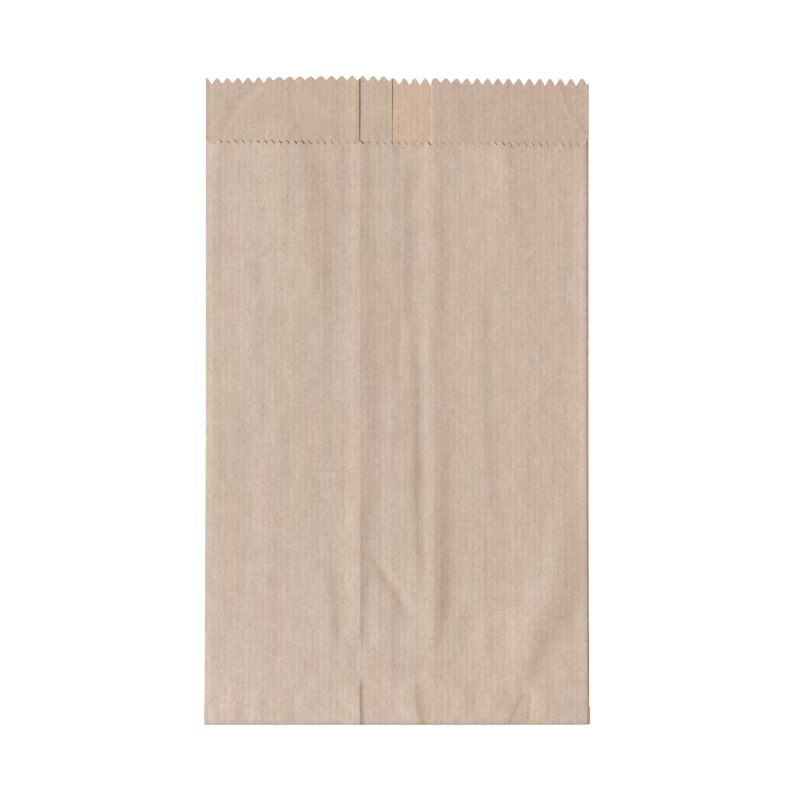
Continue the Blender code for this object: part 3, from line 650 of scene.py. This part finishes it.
def score(blank, index, crest):
    """Cut narrow strips along a crease, so that the mesh follows it."""
    start = STARTS[index]
    toward = 1.0 if PATH[index].end > PATH[index].start else -1.0
    places = [(start + toward * (x * MM - PATH[index].start), t * MM) for x, t, *_ in crest]
    for (s0, t0), (s1, t1) in zip(places, places[1:]):
        normal = Vector((t1 - t0, s0 - s1, 0.0)).normalized()
        low_s, high_s = min(s0, s1) - SCORE_REACH, max(s0, s1) + SCORE_REACH
        low_t, high_t = min(t0, t1) - SCORE_REACH, max(t0, t1) + SCORE_REACH
        for offset in SCORE_OFFSETS:
            near = []
            for face in blank.faces:
                middle = face.calc_center_median()
                if low_s < middle.x < high_s and low_t < middle.y < high_t:
                    near.append(face)
            bisect(blank, Vector((s0, t0, 0.0)) + normal * offset * MM, normal, near)


def cut_blank():
    """The flat sheet, cut into a fine mesh that follows its folds and creases."""
    blank = bmesh.new()
    blank.faces.new([blank.verts.new((s, t, 0.0)) for s, t in blank_outline()])
    for index, run in enumerate(PATH):
        for x in steps(run.start, run.end, run.step):
            bisect(blank, (sheet_s(index, x), 0, 0), (1, 0, 0))
        if index > 0:
            for i in range(CREASE_STEPS + 1):
                bisect(blank, (STARTS[index] - CREASE_BAND * i / CREASE_STEPS, 0, 0), (1, 0, 0))
    rows = [-BEND_BAND * i / CREASE_STEPS for i in range(CREASE_STEPS + 1)]
    settled, below_cut = FLAP + CLEARANCE + FLAP_SETTLE, LENGTH - LIP - FINE_ROWS_BELOW
    rows += steps(0.0, settled, FLAP_ROW)
    rows += steps(settled, below_cut, BODY_ROW)
    rows += steps(below_cut, LENGTH - COARSE_DEPTH, FINE_ROW)
    for t in rows:
        bisect(blank, (0, t, 0), (0, 1, 0))
    low_s, high_s = STARTS[FRONT_RUN], STARTS[FRONT_RUN] + LENGTHS[FRONT_RUN]
    for t in steps(0.0, LENGTH - LIP - FINE_DEPTH, FINE_ROW):
        front = []
        for face in blank.faces:
            reach = [vertex.co.y for vertex in face.verts]
            middle = face.calc_center_median().x
            if low_s - CREASE_BAND < middle < high_s + CREASE_BAND and min(reach) < t < max(reach):
                front.append(face)
        if front:
            bisect(blank, (0, t, 0), (0, 1, 0), front)
    for crest in (FOLD_LINE, *PINCHES[:3]):
        score(blank, FRONT_RUN, crest)
    for crest in LEFT_GUSSET_CREASES:
        score(blank, LEFT_GUSSET_RUN, crest)
    for crest in RIGHT_GUSSET_CREASES:
        score(blank, RIGHT_GUSSET_RUN, crest)
    bmesh.ops.triangulate(blank, faces=blank.faces[:], quad_method="SHORT_EDGE", ngon_method="BEAUTY")
    return blank


def add_object(name, data):
    item = bpy.data.objects.new(name, data)
    bpy.context.scene.collection.objects.link(item)
    return item


def paper_bag():
    """The folded sheet, with its thickness and with the flat sheet's coordinates as its UV map."""
    blank = cut_blank()
    flat = blank.loops.layers.uv.new("sheet")
    for face in blank.faces:
        for loop in face.loops:
            loop[flat].uv = (loop.vert.co.x * UV_SCALE, loop.vert.co.y * UV_SCALE)
    places = np.array([vertex.co[:2] for vertex in blank.verts])
    folded = fold_sheet(places[:, 0], places[:, 1])
    layer = blank.verts.layers.float.new("layer")
    runs = np.clip(np.searchsorted(STARTS, places[:, 0], side="right") - 1, 0, len(PATH) - 1)
    for vertex, place, run in zip(blank.verts, folded, runs):
        vertex.co = place
        vertex[layer] = PATH[run].layer
    mesh = bpy.data.meshes.new("folded_sheet")
    blank.to_mesh(mesh)
    blank.free()
    bag = add_object("kraft_bag", mesh)
    thickness = bag.modifiers.new("paper thickness", "SOLIDIFY")
    thickness.thickness = PAPER
    thickness.offset = 0.0
    thickness.use_even_offset = True
    thickness.use_quality_normals = True
    bpy.context.view_layer.update()
    solid = bpy.data.meshes.new_from_object(bag.evaluated_get(bpy.context.evaluated_depsgraph_get()))
    bag.modifiers.clear()
    bag.data = solid
    solid.shade_smooth()
    solid.set_sharp_from_angle(angle=SHARP_EDGE)
    mark_paper(solid)
    return bag


def mark_paper(mesh):
    """Attributes: the paper's inner side, painted light through its single layer, painted light at its paler
    left side and lower end, and its tint with painted light and shade at its folds.
    """
    count = len(mesh.vertices)
    places = np.zeros(count * 3)
    mesh.vertices.foreach_get("co", places)
    places = places.reshape(count, 3)
    normals = np.zeros(count * 3)
    mesh.vertex_normals.foreach_get("vector", normals)
    normals = normals.reshape(count, 3)
    up = normals[:, 2] > 0
    layers = np.zeros(count)
    mesh.attributes["layer"].data.foreach_get("value", layers)
    inner_up = (layers == BACK) | (layers == GUSSET_FRONT)
    x, t = places[:, 0], places[:, 1] - BOTTOM_Y
    across = between(x, SINGLE_LEFT, SEAM_EDGE) * between(x, SINGLE_RIGHT, CHANNEL_RIGHT)
    along = between(t, MOUTH_MARK, LENGTH - LIP)
    # painted light through the single layer, on its upper face only
    single = across * along * up * (layers == BACK) * (places[:, 2] < SINGLE_LAYER_TOP)
    # Painted light: paler and cooler down the left side and towards the lower end, most in the lower left
    # corner
    left_side = np.exp(-(((x - LEFT) / PALE_WIDTH) ** 2)) * (1 - along)
    pale = PALE_SIDE * left_side
    pale += between(t, (PALE_END_REACH, 0.0)) * (PALE_END + PALE_CORNER * left_side)
    pale += between(t, (PALE_STRIP_REACH, 0.0)) * PALE_STRIP * left_side
    tint = np.ones((count, 4))
    to_right = between(x, TINT_TURN)[:, None]
    tint[:, :3] = np.array(LEFT_TINT) * (1 - to_right) + np.array(RIGHT_TINT) * to_right
    in_mouth = 1 + (np.array(RIGHT_MOUTH_TINT) - 1) * (x > 0)[:, None]
    tint[:, :3] += (in_mouth - tint[:, :3]) * along[:, None]
    # Tints at the folded edges: greyer at the left fold, painted bounce light on the right fold's shaded
    # faces (those turned to the right, and the layers under the front), painted shade on the bottom roll
    turned = np.maximum(layers != FRONT, between(normals[:, 0], EDGE_TURN))
    bag_edges = ((LEFT_EDGE_TINT, between(x, LEFT_EDGE_AT, LEFT)),
                 (RIGHT_FOLD_BOUNCE_LIGHT, turned * between(x, RIGHT_EDGE_AT, FRONT_RIGHT)),
                 (BOTTOM_ROLL_SHADE, between(t, BOTTOM_EDGE_AT)))
    for edge_tint, share in bag_edges:
        tint[:, :3] *= 1 + (np.array(edge_tint) - 1) * (share * (1 - along))[:, None]
    colours = mesh.attributes.new("sheet_tint_light_shade", "FLOAT_COLOR", "POINT")
    colours.data.foreach_set("color", tint.ravel().astype(np.float32))
    for name, values in (("inner_side", inner_up == up), ("single_layer_light", single), ("pale_painted_light", pale)):
        attribute = mesh.attributes.new(name, "FLOAT", "POINT")
        attribute.data.foreach_set("value", values.astype(np.float32))
    mesh.attributes.remove(mesh.attributes["layer"])


class Nodes:
    """A short way to add nodes to one material and join them."""

    def __init__(self, material):
        material.use_nodes = True
        self.tree = material.node_tree
        self.shader = self.tree.nodes["Principled BSDF"]

    def add(self, kind, **settings):
        node = self.tree.nodes.new(kind)
        for name, value in settings.items():
            setattr(node, name, value)
        return node

    def join(self, source, target):
        self.tree.links.new(source, target)

    def feed(self, node, values):
        """Set or join a node's inputs, by name or number."""
        for key, value in values.items():
            socket = node.inputs[key]
            if isinstance(value, bpy.types.NodeSocket):
                self.join(value, socket)
            else:
                socket.default_value = value

    def math(self, operation, *values):
        node = self.add("ShaderNodeMath", operation=operation)
        self.feed(node, dict(enumerate(values)))
        return node.outputs[0]

    def mix(self, factor, first, second, blend="MIX"):
        node = self.add("ShaderNodeMix", data_type="RGBA", blend_type=blend)
        self.feed(node, {0: factor, 6: first, 7: second})
        return node.outputs[2]

    def ramp(self, value, low, high, to_low=0.0, to_high=1.0):
        node = self.add("ShaderNodeMapRange", interpolation_type="SMOOTHSTEP")
        self.feed(node, {0: value, 1: low, 2: high, 3: to_low, 4: to_high})
        return node.outputs[0]

    def scaled(self, vector, scale, shift=(0.0, 0.0, 0.0)):
        node = self.add("ShaderNodeMapping")
        self.feed(node, {"Vector": vector, "Scale": scale, "Location": shift})
        return node.outputs[0]

    def noise(self, sheet, kind):
        vector = self.scaled(sheet, (kind.across, kind.along, 1.0), kind.shift)
        node = self.add("ShaderNodeTexNoise", noise_dimensions="2D")
        self.feed(node, {"Vector": vector, "Scale": 1.0, "Detail": kind.detail,
                         "Roughness": kind.roughness, "Distortion": kind.distortion})
        return node.outputs["Fac"]

    def multiplied(self, colour, tint, share):
        """The colour, with a share of it multiplied by a tint."""
        return self.mix(share, colour, self.mix(1.0, colour, tint, "MULTIPLY"))

    def attribute(self, name, output="Fac"):
        return self.add("ShaderNodeAttribute", attribute_name=name).outputs[output]


def kraft_paper():
    """Ribbed brown kraft: pink and beige streaks along the sheet, clouds, fibres and a few shives."""
    material = bpy.data.materials.new("kraft_paper")
    nodes = Nodes(material)
    flat = nodes.add("ShaderNodeUVMap", uv_map="sheet").outputs["UV"]
    mm = nodes.scaled(flat, (1 / (UV_SCALE * MM), 1 / (UV_SCALE * MM), 1.0))

    streaks, pinkness, warmth, blush, mottling, grain, fibres = [
        nodes.noise(mm, kind) for kind in (STREAKS, PINKNESS, WARMTH, BLUSH, MOTTLING, GRAIN, FIBRES)]

    tint = nodes.mix(nodes.ramp(pinkness, *TINT_EDGES), PINK_PAPER, BEIGE_PAPER)
    for value, tints in ((warmth, WARMTH_TINTS), (blush, BLUSH_TINTS)):
        tint = nodes.mix(1.0, tint, nodes.mix(nodes.ramp(value, *TINT_EDGES), *tints), "MULTIPLY")

    separate = nodes.add("ShaderNodeSeparateXYZ")
    nodes.join(mm, separate.inputs[0])
    turns = nodes.math("MULTIPLY", separate.outputs[0], 2 * pi / RIB_PITCH)
    ribs = nodes.math("SINE", turns)
    half_ribs = nodes.math("SINE", nodes.math("MULTIPLY", turns, 2.0))

    tone = nodes.math("MULTIPLY", ribs, RIB_DEPTH)
    tone = nodes.math("MULTIPLY_ADD", half_ribs, HALF_RIB_DEPTH, tone)
    for value, depth in ((streaks, STREAK_DEPTH), (mottling, MOTTLING_DEPTH),
                         (grain, GRAIN_DEPTH), (fibres, FIBRE_DEPTH)):
        tone = nodes.math("MULTIPLY_ADD", nodes.math("SUBTRACT", value, 0.5), depth, tone)
    channels = nodes.add("ShaderNodeCombineXYZ")
    for channel, gain in enumerate(TONE_GAINS):
        nodes.join(nodes.math("MULTIPLY_ADD", tone, gain, 1.0), channels.inputs[channel])
    paper = nodes.mix(1.0, tint, channels.outputs[0], "MULTIPLY")

    cells = nodes.add("ShaderNodeTexVoronoi", voronoi_dimensions="2D", feature="F1")
    nodes.feed(cells, {"Vector": nodes.scaled(mm, SHIVE_CELLS), "Scale": 1.0})
    chosen = nodes.add("ShaderNodeSeparateColor")
    nodes.join(cells.outputs["Color"], chosen.inputs[0])
    shive = nodes.math("MULTIPLY", nodes.ramp(cells.outputs["Distance"], *SHIVE_RADIUS, 1.0, 0.0),
                       nodes.math("GREATER_THAN", chosen.outputs[0], SHIVE_CHANCE))
    paper = nodes.mix(nodes.math("MULTIPLY", shive, SHIVE_STRENGTH), paper, SHIVE_COLOUR)

    paper = nodes.multiplied(paper, INNER_TINT, nodes.attribute("inner_side"))
    # painted light through the single layer
    paper = nodes.multiplied(paper, SINGLE_LAYER_LIGHT_TINT, nodes.attribute("single_layer_light"))
    # painted light down the left side and at the lower end
    paper = nodes.multiplied(paper, PAINTED_LIGHT_TINT, nodes.attribute("pale_painted_light"))
    # the sheet's tint, with painted bounce light at the right fold and painted shade on the bottom roll
    paper = nodes.mix(1.0, paper, nodes.attribute("sheet_tint_light_shade", "Color"), "MULTIPLY")
    nodes.join(paper, nodes.shader.inputs["Base Color"])

    nodes.join(nodes.ramp(grain, *GRAIN_EDGES, *ROUGHNESS), nodes.shader.inputs["Roughness"])
    nodes.shader.inputs["Specular IOR Level"].default_value = SPECULAR
    relief = nodes.math("MULTIPLY_ADD", fibres, FIBRE_BUMP, nodes.math("MULTIPLY", ribs, RIB_BUMP))
    relief = nodes.math("MULTIPLY_ADD", grain, GRAIN_BUMP, relief)
    bump = nodes.add("ShaderNodeBump")
    nodes.feed(bump, {"Height": relief, "Strength": 1.0, "Distance": BUMP_DEPTH})
    nodes.join(bump.outputs[0], nodes.shader.inputs["Normal"])
    return material


def white_floor():
    """A white table that keeps a faint shadow of the bag."""
    mesh = bpy.data.meshes.new("table")
    signs = ((-1, -1), (1, -1), (1, 1), (-1, 1))
    corners = [(a * TABLE_HALF, b * TABLE_HALF, TABLE_LEVEL) for a, b in signs]
    mesh.from_pydata(corners, [], [(0, 1, 2, 3)])
    floor = add_object("table", mesh)
    material = bpy.data.materials.new("white_table")
    nodes = Nodes(material)
    nodes.shader.inputs["Base Color"].default_value = TABLE_GREY
    nodes.shader.inputs["Roughness"].default_value = TABLE_ROUGHNESS
    light_path = nodes.add("ShaderNodeLightPath")
    seen = nodes.math("MAXIMUM", light_path.outputs["Is Camera Ray"], light_path.outputs["Is Glossy Ray"])
    seen = nodes.math("MAXIMUM", seen, light_path.outputs["Is Transmission Ray"])
    white = nodes.add("ShaderNodeEmission")
    nodes.feed(white, {"Color": (1.0, 1.0, 1.0, 1.0), "Strength": TABLE_GLOW})
    blend = nodes.add("ShaderNodeMixShader")
    share = nodes.math("MULTIPLY", seen, TABLE_GLOW_SHARE)
    nodes.feed(blend, {0: share, 1: nodes.shader.outputs[0], 2: white.outputs[0]})
    output = nodes.tree.nodes["Material Output"]
    nodes.join(blend.outputs[0], output.inputs["Surface"])
    mesh.materials.append(material)


def lights():
    """A soft cool window light from the left and an even, warm fill."""
    lamp = bpy.data.lights.new("window_light", "AREA")
    lamp.shape = "DISK"
    lamp.size = WINDOW_SIZE
    lamp.energy = WINDOW_POWER
    lamp.color = WINDOW_COLOUR
    item = add_object("window_light", lamp)
    item.location = WINDOW_PLACE
    item.rotation_euler = (-Vector(WINDOW_PLACE)).to_track_quat("-Z", "Y").to_euler()
    world = bpy.data.worlds.new("fill")
    world.use_nodes = True
    background = world.node_tree.nodes["Background"]
    background.inputs["Color"].default_value = FILL_COLOUR
    background.inputs["Strength"].default_value = FILL_STRENGTH
    bpy.context.scene.world = world


def camera():
    """Straight down on the bag, through a long lens, framed as in the photograph."""
    data = bpy.data.cameras.new("camera")
    data.lens = LENS
    data.sensor_width = SENSOR
    data.clip_start = CLIP_START
    item = add_object("camera", data)
    item.location = PICTURE_CENTRE + Vector((0.0, 0.0, PICTURE_WIDTH * LENS / SENSOR))
    bpy.context.scene.camera = item


camera()
lights()
white_floor()
bag = paper_bag()
bag.data.materials.append(kraft_paper())
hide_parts("paper_bag")
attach(bag, "root")
bpy.context.scene.view_settings.view_transform = "Standard"
